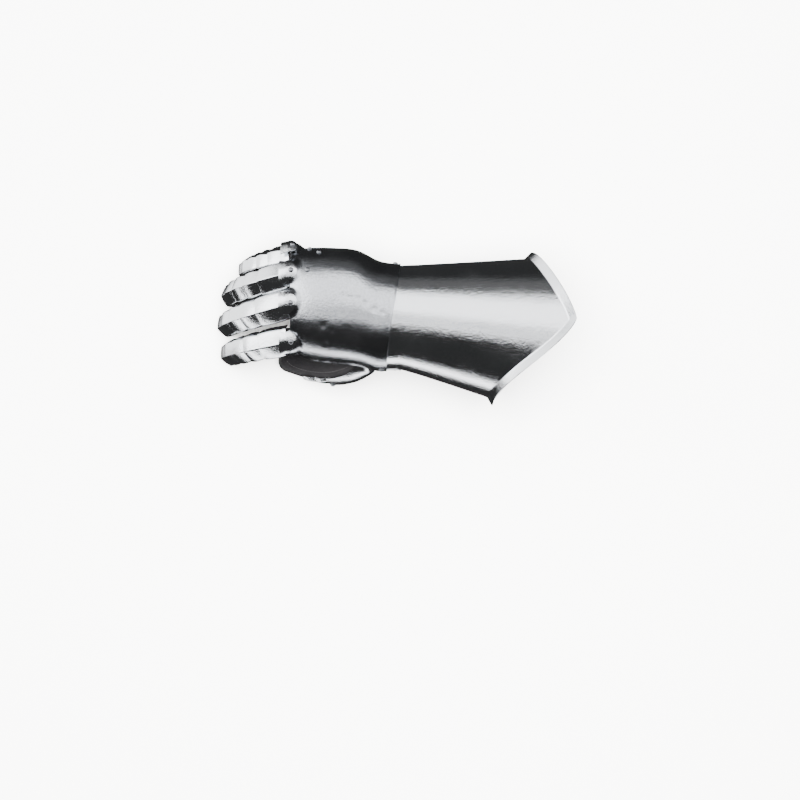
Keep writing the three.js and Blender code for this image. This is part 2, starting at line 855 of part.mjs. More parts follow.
function holeSolid(stack, spot) {
  const depth = 2 * (stack + rivetClearance) + rivetHeadHeight;
  const radius = rivetShankRadius + rivetClearance;
  const hole = new THREE.CylinderGeometry(radius, radius, depth, rivetSides);
  hole.rotateX(Math.PI / 2);
  hole.translate(0, 0, -stack / 2);
  return solidFrom(placeOnSurface(hole, spot));
}

// Assembly

const plates = new Map();
const lap = fitGap + lameWall;

function addPlate(name, grid, wall, closed = false) {
  plates.set(name, { geometry: sheetGeometry(grid, wall, closed), material: steel });
}

addPlate('cuff', cuffGrid(axisHeight), plateWall, true);
addPlate('hand_plate', handGrid(), plateWall);

const limbs = fingers.map(fingerLimb);
fingers.forEach((finger, number) => {
  const limb = limbs[number];
  const length = limb.curve.getLength();
  addPlate(`${finger.name}_knuckle_plate`, tongueGrid(finger), lameWall);
  const starts = [fingerStart + lameOverlap, ...lameEnds.map((share) => share * length)];
  lameEnds.forEach((_, lame) => {
    const tucked = lame === 0 ? 2 * fitGap : lap;
    const grid = lameGrid(limb, starts[lame], starts[lame + 1], tucked);
    addPlate(`${finger.name}_lame_${lame + 1}`, grid, lameWall);
  });
  addPlate(`${finger.name}_tip`, capGrid(limb, starts[lameEnds.length]), lameWall);
});

const thumb = thumbLimb();
const thumbLength = thumb.curve.getLength();
const thumbEnds = thumbPlateEnds.map((share) => share * thumbLength);
addPlate('thumb_base_plate', thumbBaseGrid(thumb), lameWall);
for (let lame = 1; lame < thumbEnds.length; lame += 1) {
  addPlate(`thumb_lame_${lame}`, lameGrid(thumb, thumbEnds[lame - 1], thumbEnds[lame], lap), lameWall);
}

plates.set('glove', { geometry: gloveGeometry([...limbs, thumb]), material: leather });

// Each rivet: the spot under its head, the sheets that it holds from the outside in, and how thick they are
const rivets = [];

function addRivet(name, spot, holds, stack, slack) {
  rivets.push({ name, spot, holds, stack, slack });
}

const tongueStack = lameWall + tongueGap + plateWall;
const wristStack = plateWall + fitGap + plateWall;
const tabStack = lap + plateWall;
const thumbStack = lap + lameWall + leatherGap + leatherWall;
for (const finger of fingers) {
  const spot = tongueSpot(-handLength, angleBeside(finger, -handLength, 0));
  const holds = [`${finger.name}_knuckle_plate`, 'hand_plate'];
  addRivet(`${finger.name}_rivet`, spot, holds, tongueStack, knuckleTailSlack);
}
for (const { name, setback, angle } of handRivets) {
  const spot = surfaceSpot(handSurface, handLength * (setback - 1), angle);
  addRivet(name, spot, ['hand_plate'], plateWall, rivetTailSlack);
}
for (const { name, angle } of wristRivets) {
  const spot = surfaceSpot(handSurface, handBackX(angle) - wristRivetInset, angle);
  addRivet(name, spot, ['hand_plate', 'cuff'], wristStack, wristTailSlack);
}
const tabSpot = thumbTabSpot(thumbTabX, thumbTabCentre);
addRivet('thumb_tab_rivet', tabSpot, ['thumb_base_plate', 'cuff'], tabStack, rivetTailSlack);
thumbRivetAngles.forEach((angle, number) => {
  const distance = thumbEnds[0] - thumbOverlap / 2;
  const frame = frameAt(thumb.curve, distance, thumb.roll);
  const normal = ringDirection(frame, angle);
  const point = frame.centre.clone().addScaledVector(normal, radiusAt(thumb, distance));
  const holds = ['thumb_base_plate', 'thumb_lame_1', 'glove'];
  addRivet(`thumb_rivet_${number + 1}`, { point, normal }, holds, thumbStack, rivetTailSlack);
});

for (const rivet of rivets) {
  for (const name of rivet.holds) {
    const plate = plates.get(name);
    plate.solid = (plate.solid ?? solidFrom(plate.geometry)).subtract(holeSolid(rivet.stack, rivet.spot));
  }
}

for (const [name, plate] of plates) {
  const geometry = plate.solid ? geometryFrom(plate.solid.simplify(sliverSize)) : plate.geometry;
  addPiece(name, geometry, plate.material);
}
for (const rivet of rivets) {
  addPiece(rivet.name, rivetGeometry(rivet), rivetSteel);
}

// The origin is the middle of the box on the surface that the gauntlet lies on
const box = new THREE.Box3().setFromObject(gauntlet);
const middle = box.getCenter(new THREE.Vector3());
gauntlet.position.set(-middle.x, -middle.y, -box.min.z);

export default gauntlet;
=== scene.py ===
# A right-hand steel gauntlet lying palm down on a pale table, seen from straight above
import math

import bmesh
import bpy
import numpy as np
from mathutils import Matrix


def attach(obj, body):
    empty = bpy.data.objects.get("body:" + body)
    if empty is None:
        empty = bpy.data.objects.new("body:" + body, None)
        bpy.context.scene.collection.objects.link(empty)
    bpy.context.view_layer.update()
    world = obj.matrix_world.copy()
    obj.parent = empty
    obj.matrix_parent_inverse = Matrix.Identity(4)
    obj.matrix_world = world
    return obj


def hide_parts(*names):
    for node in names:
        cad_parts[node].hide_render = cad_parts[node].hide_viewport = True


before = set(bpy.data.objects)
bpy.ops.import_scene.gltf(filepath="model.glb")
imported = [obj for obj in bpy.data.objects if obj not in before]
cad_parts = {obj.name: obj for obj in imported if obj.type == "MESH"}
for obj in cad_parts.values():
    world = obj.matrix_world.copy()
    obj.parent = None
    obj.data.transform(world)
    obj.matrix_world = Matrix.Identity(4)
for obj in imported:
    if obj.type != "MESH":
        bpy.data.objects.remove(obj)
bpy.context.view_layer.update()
print("frame loaded")

mm = 0.001  # sizes below are in millimetres, Blender works in metres

# How the gauntlet lies, shared by every piece
stance = {
    "lean": 8,  # degrees that the back of the hand leans to the little finger
    "axisHeight": 65.9775,  # the wrist axis over the table
    "shift": (6.7609, -2.1629, 0.0),  # from the wrist axis to the middle of the whole gauntlet
}
stock = {
    "plateWall": 1.2,
    "lameWall": 1.0,
    "leatherWall": 1.8,
    "fitGap": 0.35,
    "leatherGap": 0.6,
    "edgeRound": 0.3,  # how far the cut edges are filed round
}


def mix(a, b, share):
    return a + (b - a) * share


def unit(vectors):
    return vectors / np.maximum(np.linalg.norm(vectors, axis=-1, keepdims=True), 1e-12)


def dot(a, b):
    return np.sum(a * b, axis=-1)


def smooth(value, low, high):
    share = np.clip((value - low) / (high - low), 0, 1)
    return share * share * (3 - 2 * share)


def vec(x, y, z):
    return np.stack(np.broadcast_arrays(np.asarray(x, float), y, z), axis=-1)


def wave(points, length, seed):
    # a soft unevenness between -1 and 1, the same each run
    rng = np.random.default_rng(seed)
    total = np.zeros(points.shape[:-1])
    waves = 7
    for _ in range(waves):
        direction = unit(rng.normal(size=3))
        pitch = 2 * math.pi / (length * rng.uniform(0.7, 1.5))
        total += np.sin(points @ direction * pitch + rng.uniform(0, 6.28))
    return total / waves


# Colours and surfaces

def linear(hexColour):
    values = [int(hexColour[i:i + 2], 16) / 255 for i in (1, 3, 5)]
    return [v / 12.92 if v <= 0.04045 else ((v + 0.055) / 1.055) ** 2.4 for v in values] + [1]


def addNode(tree, kind, settings=None, links=None):
    # settings: attribute or input name to value; links: input name to another node's output
    node = tree.nodes.new(kind)
    for name, value in (settings or {}).items():
        if name in node.inputs:
            node.inputs[name].default_value = value
        else:
            setattr(node, name, value)
    for name, source in (links or {}).items():
        tree.links.new(source, node.inputs[name])
    return node


def newMaterial(name):
    material = bpy.data.materials.new(name)
    material.use_nodes = True
    tree = material.node_tree
    tree.nodes.clear()
    place = addNode(tree, "ShaderNodeTexCoord").outputs["Object"]
    return material, tree, place


def finishMaterial(tree, shader):
    addNode(tree, "ShaderNodeOutputMaterial", links={"Surface": shader.outputs["BSDF"]})


# Mild steel sheet, hammered to shape, ground and buffed to a mirror with fine brush marks round the hand.
# The eye gets sharp reflections that waver a little and have slightly grainy borders. The marks are
# drawn coarser than real ones so that they show.
steelFinish = {
    "mirrorColours": ("#dcdee0", "#bcbfc3"),
    "mirrorRoughness": (0.1, 0.2),
    # the back of the hand is brushed across, duller and greyer
    "satinColours": ("#b2b4b8", "#8e9195"),
    "satinRoughness": (0.15, 0.25),
    "brushWidth": 1.0,  # mm across one brush mark round the hand
    "brushLength": 16,
    "streakWidth": 2.6,  # the buffing wheel's long marks along the forearm
    "streakLength": 60,
    "grain": 2.4,
    "smudge": 38,
    "dent": 9,
    # how deep each of them is, in mm
    "dentDepth": 0.1, "grainDepth": 0.2, "brushDepth": 0.03, "streakDepth": 0.07,
}


def polishedSteel(name, colours, roughness):
    look = steelFinish
    material, tree, place = newMaterial(name)
    acrossMark, alongMark = 1 / (look["brushWidth"] * mm), 1 / (look["brushLength"] * mm)
    along = addNode(tree, "ShaderNodeMapping", {"Scale": (acrossMark, alongMark, alongMark)},
                    {"Vector": place})
    brush = addNode(tree, "ShaderNodeTexNoise", {"Scale": 1.0, "Detail": 3.0, "Roughness": 0.6},
                    {"Vector": along.outputs["Vector"]})
    grain = addNode(tree, "ShaderNodeTexNoise", {
        "Scale": 1 / (look["grain"] * mm), "Detail": 4.0, "Roughness": 0.65,
    }, {"Vector": place})
    dent = addNode(tree, "ShaderNodeTexNoise", {
        "Scale": 1 / (look["dent"] * mm), "Detail": 2.0, "Roughness": 0.5,
    }, {"Vector": place})
    smudge = addNode(tree, "ShaderNodeTexNoise", {
        "Scale": 1 / (look["smudge"] * mm), "Detail": 5.0, "Roughness": 0.6,
    }, {"Vector": place})
    rough = addNode(tree, "ShaderNodeMapRange", {
        "From Min": 0.38, "From Max": 0.66, "To Min": roughness[0], "To Max": roughness[1],
    }, {"Value": smudge.outputs["Fac"]})
    tone = addNode(tree, "ShaderNodeMix", {"data_type": "RGBA"}, {"Factor": grain.outputs["Fac"]})
    tone.inputs[6].default_value = linear(colours[0])
    tone.inputs[7].default_value = linear(colours[1])
    dentBump = addNode(tree, "ShaderNodeBump", {"Strength": 1.0, "Distance": look["dentDepth"] * mm},
                       {"Height": dent.outputs["Fac"]})
    grainBump = addNode(tree, "ShaderNodeBump", {"Strength": 1.0, "Distance": look["grainDepth"] * mm},
                        {"Height": grain.outputs["Fac"], "Normal": dentBump.outputs["Normal"]})
    brushBump = addNode(tree, "ShaderNodeBump", {"Strength": 1.0, "Distance": look["brushDepth"] * mm},
                        {"Height": brush.outputs["Fac"], "Normal": grainBump.outputs["Normal"]})
    acrossStreak, alongStreak = 1 / (look["streakWidth"] * mm), 1 / (look["streakLength"] * mm)
    length = addNode(tree, "ShaderNodeMapping", {"Scale": (alongStreak, acrossStreak, acrossStreak)},
                     {"Vector": place})
    streak = addNode(tree, "ShaderNodeTexNoise", {"Scale": 1.0, "Detail": 3.0, "Roughness": 0.6},
                     {"Vector": length.outputs["Vector"]})
    streakBump = addNode(tree, "ShaderNodeBump", {"Strength": 1.0, "Distance": look["streakDepth"] * mm},
                         {"Height": streak.outputs["Fac"], "Normal": brushBump.outputs["Normal"]})
    shader = addNode(tree, "ShaderNodeBsdfPrincipled", {"Metallic": 1.0}, {
        "Base Color": tone.outputs[2], "Roughness": rough.outputs["Result"],
        "Normal": streakBump.outputs["Normal"],
    })
    finishMaterial(tree, shader)
    return material


# Rivets of mild steel wire, peened over and left from the hammer: duller and a little uneven.
rivetFinish = {"colour": "#5c5e62", "worn": "#96989c", "roughness": (0.25, 0.42), "hammerMark": 1.6}


def peenedSteel():
    look = rivetFinish
    material, tree, place = newMaterial("peened rivet steel")
    marks = addNode(tree, "ShaderNodeTexNoise", {
        "Scale": 1 / (look["hammerMark"] * mm), "Detail": 3.0, "Roughness": 0.6,
    }, {"Vector": place})
    tone = addNode(tree, "ShaderNodeMix", {"data_type": "RGBA"}, {"Factor": marks.outputs["Fac"]})
    tone.inputs[6].default_value = linear(look["colour"])
    tone.inputs[7].default_value = linear(look["worn"])
    least, most = look["roughness"]
    rough = addNode(tree, "ShaderNodeMapRange", {"To Min": least, "To Max": most},
                    {"Value": marks.outputs["Fac"]})
    bump = addNode(tree, "ShaderNodeBump", {"Strength": 0.4, "Distance": 0.12 * mm},
                   {"Height": marks.outputs["Fac"]})
    shader = addNode(tree, "ShaderNodeBsdfPrincipled", {"Metallic": 1.0}, {
        "Base Color": tone.outputs[2], "Roughness": rough.outputs["Result"], "Normal": bump.outputs["Normal"],
    })
    finishMaterial(tree, shader)
    return material


# Chrome-tanned glove leather, dyed black and drum-softened: fine pebbled grain with a low, waxy sheen.
leatherFinish = {
    "colour": "#0c0c0d", "rubbed": "#171617", "roughness": (0.45, 0.7), "grain": 0.9, "crease": 7,
}


def gloveLeather():
    look = leatherFinish
    material, tree, place = newMaterial("black glove leather")
    pebble = addNode(tree, "ShaderNodeTexVoronoi", {"Scale": 1 / (look["grain"] * mm)}, {"Vector": place})
    crease = addNode(tree, "ShaderNodeTexNoise", {
        "Scale": 1 / (look["crease"] * mm), "Detail": 5.0, "Roughness": 0.6,
    }, {"Vector": place})
    tone = addNode(tree, "ShaderNodeMix", {"data_type": "RGBA"}, {"Factor": crease.outputs["Fac"]})
    tone.inputs[6].default_value = linear(look["colour"])
    tone.inputs[7].default_value = linear(look["rubbed"])
    least, most = look["roughness"]
    rough = addNode(tree, "ShaderNodeMapRange", {"To Min": least, "To Max": most},
                    {"Value": crease.outputs["Fac"]})
    creaseBump = addNode(tree, "ShaderNodeBump", {"Strength": 0.5, "Distance": 0.5 * mm},
                         {"Height": crease.outputs["Fac"]})
    grainBump = addNode(tree, "ShaderNodeBump", {"Strength": 0.45, "Distance": 0.15 * mm},
                        {"Height": pebble.outputs["Distance"], "Normal": creaseBump.outputs["Normal"]})
    shader = addNode(tree, "ShaderNodeBsdfPrincipled", {"Specular IOR Level": 0.25}, {
        "Base Color": tone.outputs[2], "Roughness": rough.outputs["Result"],
        "Normal": grainBump.outputs["Normal"],
    })
    finishMaterial(tree, shader)
    return material


# Waxed linen thread, two plies: dull black, a shade lighter than the leather.
def linenThread():
    material, tree, place = newMaterial("waxed linen thread")
    ply = addNode(tree, "ShaderNodeTexWave", {"Scale": 1 / (1.2 * mm), "Distortion": 2.0}, {"Vector": place})
    bump = addNode(tree, "ShaderNodeBump", {"Strength": 0.5, "Distance": 0.1 * mm},
                   {"Height": ply.outputs["Fac"]})
    shader = addNode(tree, "ShaderNodeBsdfPrincipled", {"Base Color": linear("#2c2b2c"), "Roughness": 0.7},
                     {"Normal": bump.outputs["Normal"]})
    finishMaterial(tree, shader)
    return material


steel = polishedSteel("polished sheet steel", steelFinish["mirrorColours"], steelFinish["mirrorRoughness"])
satinSteel = polishedSteel("satin sheet steel", steelFinish["satinColours"], steelFinish["satinRoughness"])
rivetSteel = peenedSteel()
leather = gloveLeather()
thread = linenThread()
print("materials made")


# Meshes

def addPiece(name, vertices, faces, material, nodes, wall=0.0, rounding=0.0):
    mesh = bpy.data.meshes.new(name)
    placed = (np.asarray(vertices).reshape(-1, 3) + stance["shift"]) * mm
    mesh.from_pydata(placed.tolist(), [], faces)
    mesh.materials.append(material)
    shape = bmesh.new()
    shape.from_mesh(mesh)
    bmesh.ops.remove_doubles(shape, verts=shape.verts, dist=0.01 * mm)
    shape.to_mesh(mesh)
    shape.free()
    mesh.shade_smooth()
    piece = bpy.data.objects.new(name, mesh)
    bpy.context.scene.collection.objects.link(piece)
    if wall:
        walls = piece.modifiers.new("wall", "SOLIDIFY")
        walls.thickness = wall * mm
        walls.offset = -1
        walls.use_quality_normals = True
    if rounding:
        rounds = piece.modifiers.new("filed edges", "BEVEL")
        rounds.width = rounding * mm
        rounds.segments = 3
        rounds.limit_method = "ANGLE"
        rounds.angle_limit = math.radians(55)
        rounds.harden_normals = True
    if nodes:
        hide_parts(*nodes)
    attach(piece, "root")
    return piece


def gridFaces(rows, columns, closed, flipped, base=0):
    faces = []
    for row in range(rows - 1):
        for column in range(columns if closed else columns - 1):
            beside = (column + 1) % columns
            a, b = row * columns + column, row * columns + beside
            c, d = (row + 1) * columns + beside, (row + 1) * columns + column
            quad = (a, b, c, d) if not flipped else (a, d, c, b)
            faces.append(tuple(base + corner for corner in quad))
    return faces


def addSheet(name, points, normals, wall, nodes, closed=False, material=None):
    # a plate through a grid of outer points; the faces are turned to look the way the normals do
    rows, columns = points.shape[:2]
    row, column = rows // 2, columns // 2
    across = points[row, column] - points[row, column - 1]
    along = points[row, column] - points[row - 1, column]
    flipped = np.dot(np.cross(across, along), normals[row, column]) < 0
    faces = gridFaces(rows, columns, closed, flipped)
    return addPiece(name, points, faces, material or steel, nodes, wall, stock["edgeRound"])


# The wrist axis and the sections round it

def sectionDirection(angle):
    turn = np.radians(angle + stance["lean"])
    return vec(0, np.sin(turn), np.cos(turn))


def sectionReach(section, angle):
    turn = np.radians(angle)
    across = np.abs(np.sin(turn) / section["halfWidth"]) ** section["squareness"]
    rise = np.abs(np.cos(turn) / section["halfDepth"]) ** section["squareness"]
    return (across + rise) ** (-1 / section["squareness"])


def sectionMiddle(section, x):
    return vec(x, section["offset"], section["height"])


def sectionPoint(section, x, angle):
    return sectionMiddle(section, x) + sectionDirection(angle) * sectionReach(section, angle)[..., None]


def spots(surface, x, angle, lift=0.0):
    # points at an even height over a surface, with the surface's own normals
    step = 0.02
    along = surface(x + step, angle) - surface(x - step, angle)
    around = surface(x, angle + step) - surface(x, angle - step)
    normals = unit(np.cross(along, around))
    return surface(x, angle) + normals * lift, normals


# Cuff: one flared sheet, closed under the wrist, with its edge turned out to a lip

cuffForm = {
    "wristWidth": 104, "wristDepth": 80, "mouthWidth": 168, "mouthDepth": 144,
    "length": 164, "tuck": 18, "flarePower": 1.08, "wristOffset": 8, "mouthOffset": -15,
    "pointAngle": 6, "thumbSideDrop": 75, "littleSideDrop": 38, "undersideDrop": 72, "edgePower": 1.2,
    "lipWidth": 8, "lipAngle": 42, "lipBendRadius": 3,
    "columns": 320, "rows": 54, "tuckRows": 6, "bendRows": 6, "lipRows": 5,
    "unevenness": 0.1, "waveLength": 46,
}


def cuffSection(x):
    form = cuffForm
    share = np.maximum(0, x / form["length"]) ** form["flarePower"]
    return {
        "halfWidth": mix(form["wristWidth"], form["mouthWidth"], share) / 2,
        "halfDepth": mix(form["wristDepth"], form["mouthDepth"], share) / 2,
        "offset": mix(form["wristOffset"], form["mouthOffset"], share),
        "height": stance["axisHeight"],
        "squareness": 2,
    }


def cuffSurface(x, angle):
    return sectionPoint(cuffSection(x), x, angle)


def cuffEdgeX(angle):
    form = cuffForm
    turn = (angle - form["pointAngle"] + 180) % 360 - 180
    drop = np.where(turn > 0, form["littleSideDrop"], form["thumbSideDrop"])
    fromPoint = np.abs(turn)
    rise = np.sin(np.radians(np.minimum(fromPoint, 90))) ** form["edgePower"]
    leg = form["length"] - drop * rise
    under = form["length"] - mix(drop, form["undersideDrop"], smooth(fromPoint, 90, 180))
    return np.where(fromPoint <= 90, leg, under)


def buildCuff():
    form = cuffForm
    angle = form["pointAngle"] - 360 * np.arange(form["columns"]) / form["columns"]
    edge = cuffEdgeX(angle)
    rows = [np.full_like(angle, x) for x in np.linspace(-form["tuck"], 0, form["tuckRows"] + 1)[:-1]]
    rows += [edge * share for share in np.linspace(0, 1, form["rows"])]
    x = np.stack(rows)
    points, normals = spots(cuffSurface, x, np.broadcast_to(angle, x.shape))
    uneven = wave(points, form["waveLength"], 3) - 1
    points = points + normals * (uneven * form["unevenness"])[..., None]
    last, lastNormal = points[-1], normals[-1]
    before = -unit(np.cross(last - np.roll(last, 1, axis=0), lastNormal))
    after = -unit(np.cross(np.roll(last, -1, axis=0) - last, lastNormal))
    outward = (before + after) / (1 + dot(before, after))[..., None]
    turn, bendRows, lipRows = math.radians(form["lipAngle"]), form["bendRows"], form["lipRows"]
    bends = [(turn * step / bendRows, 0) for step in range(1, bendRows + 1)]
    bends += [(turn, form["lipWidth"] * step / lipRows) for step in range(1, lipRows + 1)]
    radius = form["lipBendRadius"]
    lip, lipNormals = [], []
    for bend, straight in bends:
        run = outward * math.cos(bend) + lastNormal * math.sin(bend)
        rounded = outward * radius * math.sin(bend) + lastNormal * radius * (1 - math.cos(bend))
        lip.append(last + rounded + run * straight)
        lipNormals.append(lastNormal * math.cos(bend) - outward * math.sin(bend))
    grid = np.concatenate([points, np.stack(lip)])
    gridNormals = np.concatenate([normals, np.stack(lipNormals)])
    addSheet("cuff_sheet", grid, gridNormals, stock["plateWall"], ["cuff"], closed=True)


buildCuff()
print("cuff built")


# Hand plate: one sheet raised over the back of the hand, with four knuckles

handForm = {
    "length": 104, "width": 117, "crownHeight": 45, "seamMiddle": -3.5, "seamSlant": 7,
    "littleSideWrap": 101, "thumbSideWrap": 89,
    "cornerStart": 0.74, "thumbCornerCut": 0.26, "littleCornerCut": 0.1,
    "valleyLength": 1, "kneeReach": 10, "domeSetback": 1, "domeHeight": 6, "domeFillet": 3, "knuckleFall": 16,
    "rows": 150, "columns": 190, "unevenness": 0.16, "seamRise": 0.45,
    # small dings along the middle: place along the hand, angle round it, width and depth
    "dings": [
        (-52, 3, 3.2, 0.35), (-46, 1.5, 2.6, 0.3), (-38, 2.5, 3.0, 0.35), (-31, -0.5, 2.8, 0.3),
        (-22, -3, 3.4, 0.35), (-14, -5, 2.6, 0.3), (-72, -33, 4.0, 0.5), (-64, -38, 3.4, 0.4),
        (-80, -42, 3.6, 0.45), (-70, -52, 3.4, 0.35),
    ],
    # place from wrist to knuckles, width, crown, shift, drop, squareness
    "sections": [
        (0.17, 0.955, 0.94, 0.075, 0.0, 2.1), (0.38, 1.0, 1.0, 0.14, 0.03, 2.25),
        (0.6, 1.0, 1.0, 0.16, 0.07, 2.35), (0.82, 0.975, 0.93, 0.175, 0.12, 2.35),
        (1.0, 0.93, 0.8, 0.185, 0.2, 2.35), (1.16, 0.88, 0.64, 0.19, 0.27, 2.35),
    ],
}
# name, angle and roll of the knuckle, radius at the root and the tip, where the tip rests
fingerForms = {
    "index": {"angle": -54, "roll": -12, "root": 14.6, "tip": 12.6, "rest": (-171, -27)},
    "middle": {"angle": -10, "roll": -2, "root": 14.8, "tip": 12.8, "rest": (-174, 3)},
    "ring": {"angle": 29, "roll": 14, "root": 14.2, "tip": 12.4, "rest": (-170, 33)},
    "little": {"angle": 69, "roll": 44, "root": 12.6, "tip": 11.2, "rest": (-154, 60)},
}


def overCuffSection(x):
    section = cuffSection(x)
    for side in ("halfWidth", "halfDepth"):
        section[side] = section[side] + stock["fitGap"] + stock["plateWall"]
    return section


def handTable():
    wrist = overCuffSection(np.float64(0))
    first = (0, 2 * wrist["halfWidth"] / handForm["width"], wrist["halfDepth"] / handForm["crownHeight"],
             cuffForm["wristOffset"] / handForm["width"], 0, 2)
    return np.array([first] + handForm["sections"])


handRows = handTable()


def tableValue(place, column):
    rows = handRows
    inside = np.clip(place, rows[0, 0], rows[-1, 0])
    row = np.clip(np.searchsorted(rows[:, 0], inside, side="left") - 1, 0, len(rows) - 2)
    before, after = np.maximum(row - 1, 0), np.minimum(row + 2, len(rows) - 1)
    x, y = rows[:, 0], rows[:, column]
    span, rise = x[row + 1] - x[row], y[row + 1] - y[row]
    share = (inside - x[row]) / span
    startSlope = (y[row + 1] - y[before]) / (x[row + 1] - x[before])
    endSlope = (y[after] - y[row]) / (x[after] - x[row])
    a, b = startSlope * span - rise, rise - endSlope * span
    return mix(y[row], y[row + 1], share) + share * (1 - share) * (a * (1 - share) + b * share)


def handSection(x):
    place = -x / handForm["length"]
    crown, drop = tableValue(place, 2), tableValue(place, 4)
    over = overCuffSection(x)
    hand = {
        "halfWidth": tableValue(place, 1) * handForm["width"] / 2,
        "halfDepth": (crown + drop) * handForm["crownHeight"],
        "offset": tableValue(place, 3) * handForm["width"],
        "height": stance["axisHeight"] - drop * handForm["crownHeight"],
        "squareness": tableValue(place, 5),
    }
    return {key: np.where(x >= 0, over[key], hand[key]) for key in hand}


def plainHandSurface(x, angle):
    return sectionPoint(handSection(x), x, angle)


def knuckleAxis(finger):
    crest = plainHandSurface(np.float64(-handForm["length"]), np.float64(finger["angle"]))
    radius = finger["root"] + stock["fitGap"] + stock["plateWall"]
    turn = math.radians(finger["roll"])
    start = crest + np.array([0, math.sin(turn), math.cos(turn)]) * (handForm["domeHeight"] - radius)
    fall = math.radians(handForm["knuckleFall"])
    flat = unit(np.array([finger["rest"][0] - start[0], finger["rest"][1] - start[1], 0]))
    direction = flat * math.cos(fall) - np.array([0, 0, math.sin(fall)])
    return {"start": start, "direction": direction, "radius": radius}


knuckleAxes = {name: knuckleAxis(finger) for name, finger in fingerForms.items()}


def farRoot(a, b, c):
    inside = b * b - a * c
    return np.where(inside > 0, (b + np.sqrt(np.maximum(inside, 0))) / np.maximum(a, 1e-9), 0)


def domeReach(origin, ray, axis):
    direction, room = axis["direction"], axis["radius"] ** 2
    start = axis["start"] - origin
    startAcross = start - direction * dot(start, direction)[..., None]
    rayAcross = ray - direction * dot(ray, direction)[..., None]
    outside = dot(startAcross, startAcross) - room
    reach = farRoot(dot(rayAcross, rayAcross), dot(rayAcross, startAcross), outside)
    along = dot(ray * reach[..., None] - start, direction)
    centre = start + direction * handForm["domeSetback"]
    ball = farRoot(1.0, dot(ray, centre), dot(centre, centre) - room)
    return np.where(along >= handForm["domeSetback"], reach, ball)


def domeRise(x, angle):
    section = handSection(x)
    origin, ray, plain = sectionMiddle(section, x), sectionDirection(angle), sectionReach(section, angle)
    reach = np.max([domeReach(origin, ray, axis) for axis in knuckleAxes.values()], axis=0)
    fillet = handForm["domeFillet"]
    lap = np.maximum(fillet - np.abs(reach - plain), 0)
    return np.maximum(reach, plain) + lap * lap / (4 * fillet) - plain


def handSurface(x, angle):
    return plainHandSurface(x, angle) + sectionDirection(angle) * domeRise(x, angle)[..., None]


def cornerShare(place):
    return smooth(place, handForm["cornerStart"], 1 + handForm["kneeReach"] / handForm["length"])


def wrapAngle(place, across):
    # from the little finger's side edge to the thumb's, whose front corners are rounded off
    form = handForm
    little = form["littleSideWrap"] * (1 - form["littleCornerCut"] * cornerShare(place))
    thumbEdge = form["thumbSideWrap"] * (1 - form["thumbCornerCut"] * cornerShare(place))
    return mix(little, -thumbEdge, across)


def buildHandPlate():
    form = handForm
    share = np.linspace(0, 1, form["rows"])[:, None]
    across = np.linspace(0, 1, form["columns"] + 1)[None, :]
    roughAngle = wrapAngle(share, across)
    back = form["seamMiddle"] + form["seamSlant"] * np.sin(np.radians(roughAngle))
    front = np.full_like(roughAngle, -form["length"] - form["domeSetback"])
    dome = np.clip(domeRise(front, roughAngle) / form["domeHeight"], 0, 1)
    x = mix(back, -form["length"] - mix(form["valleyLength"], form["kneeReach"], dome), share)
    points, normals = spots(handSurface, x, wrapAngle(-x / form["length"], across))
    uneven = wave(points, 30, 11) * 0.7 + wave(points, 13, 12) * 0.3
    points = points + normals * (uneven * form["unevenness"] * smooth(share, 0.02, 0.2))[..., None]
    points = points + normals * (form["seamRise"] * smooth(-share, -0.018, 0.0))[..., None]
    for dingX, dingAngle, size, depth in form["dings"]:
        ding = sectionPoint(handSection(np.float64(dingX)), np.float64(dingX), np.float64(dingAngle))
        away = np.linalg.norm(points - ding, axis=-1)
        points = points - normals * (depth * np.exp(-(away / size) ** 2))[..., None]
    addSheet("hand_sheet", points, normals, stock["plateWall"], ["hand_plate"], material=satinSteel)


buildHandPlate()
print("hand plate built")


# Fingers: a rounded tongue on each knuckle, four lames and a cap over each finger

lameForm = {
    "tongueGap": 1.05, "tongueShare": 0.63, "tongueFrontShare": 0.88, "tongueSetback": 5, "tongueFront": 11.5,
    "endAngle": 78, "curlReach": 0.4, "start": 1, "overlap": 4.5, "wrap": 98,
    "ends": [0.29, 0.46, 0.63, 0.81],
    "columns": 64, "cornerRound": 7, "crown": 0.6,
    # each finger's plates are broader than high where they leave the knuckle, with three flats round them
    "rootBreadth": 1.17, "tipBreadth": 1.04, "flats": 6, "flatTurn": 26, "flatShare": 0.75,
}


def angleBeside(finger, axis, x, across):
    share = (x - axis["start"][0]) / axis["direction"][0]
    turn = across / axis["radius"] + math.radians(finger["roll"])
    place = axis["start"] + axis["direction"] * share[..., None]
    place = place + vec(0, axis["radius"] * np.sin(turn), axis["radius"] * np.cos(turn))
    place = place - sectionMiddle(handSection(x), x)
    return np.degrees(np.arctan2(place[..., 1], place[..., 2])) - stance["lean"]


def buildTongue(name, finger, axis):
    form = lameForm
    centre = -handForm["length"] - form["tongueSetback"]
    radius = axis["radius"] * form["tongueShare"]
    turn = np.radians(np.concatenate([np.linspace(9, 84, 18), [90]]))
    x = np.concatenate([centre + radius * np.cos(turn), [-handForm["length"] - form["tongueFront"]]])
    halfWidth = np.concatenate([radius * np.sin(turn), [axis["radius"] * form["tongueFrontShare"]]])
    across = np.linspace(-1, 1, form["columns"] + 1)[None, :] * halfWidth[:, None]
    x = np.broadcast_to(x[:, None], across.shape)
    lift = form["tongueGap"] + stock["lameWall"]
    points, normals = spots(handSurface, x, angleBeside(finger, axis, x, across), lift)
    addSheet(name + "_knuckle_tongue", points, normals, stock["lameWall"], [name + "_knuckle_plate"])


